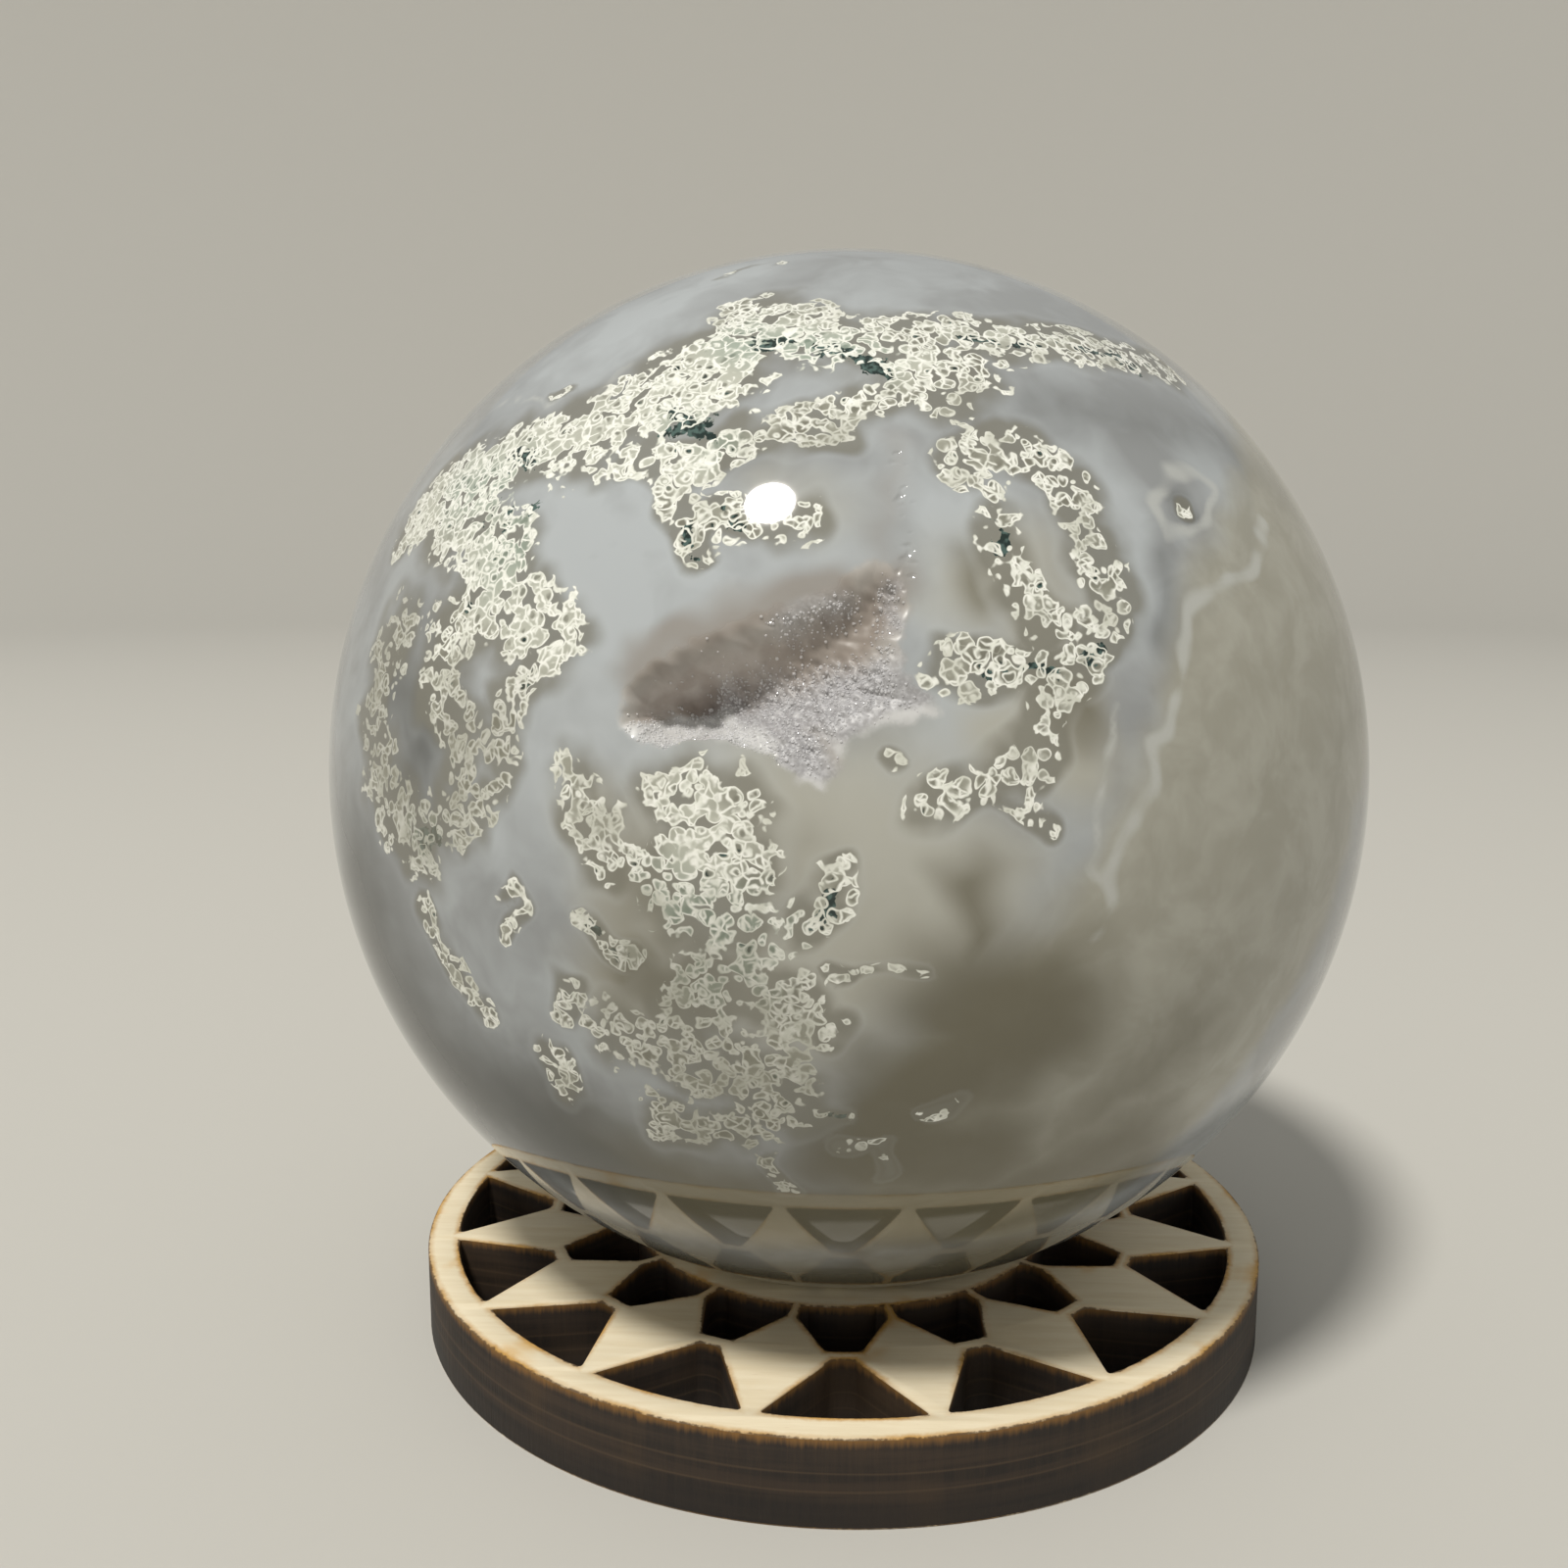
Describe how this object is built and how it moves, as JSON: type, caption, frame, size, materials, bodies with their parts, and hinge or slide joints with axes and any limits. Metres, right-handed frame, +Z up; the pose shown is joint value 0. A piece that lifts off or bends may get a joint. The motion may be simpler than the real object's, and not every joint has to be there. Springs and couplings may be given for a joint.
{
  "type": "agate sphere on a stand",
  "caption": "Polished moss agate ball with a crystal-lined cavity, resting in the seat hole of a round laser-cut plywood stand pierced by wedge-shaped holes.",
  "frame": {"origin": "centre of the stand's underside, on the surface it stands on", "axes": "+Z up along the stand's axis, -Y towards the front with the cavity, +X to the right seen from the front"},
  "size_m": [0.0762, 0.0762, 0.0799],
  "materials": {
    "moss_agate": "mirror-polished stone with mossy inclusions",
    "laser_cut_plywood": "bare sanded plywood with scorched cut edges"
  },
  "bodies": {
    "root": {"agate_sphere": "moss_agate", "laser_cut_stand": "laser_cut_plywood"}
  },
  "joints": []
}
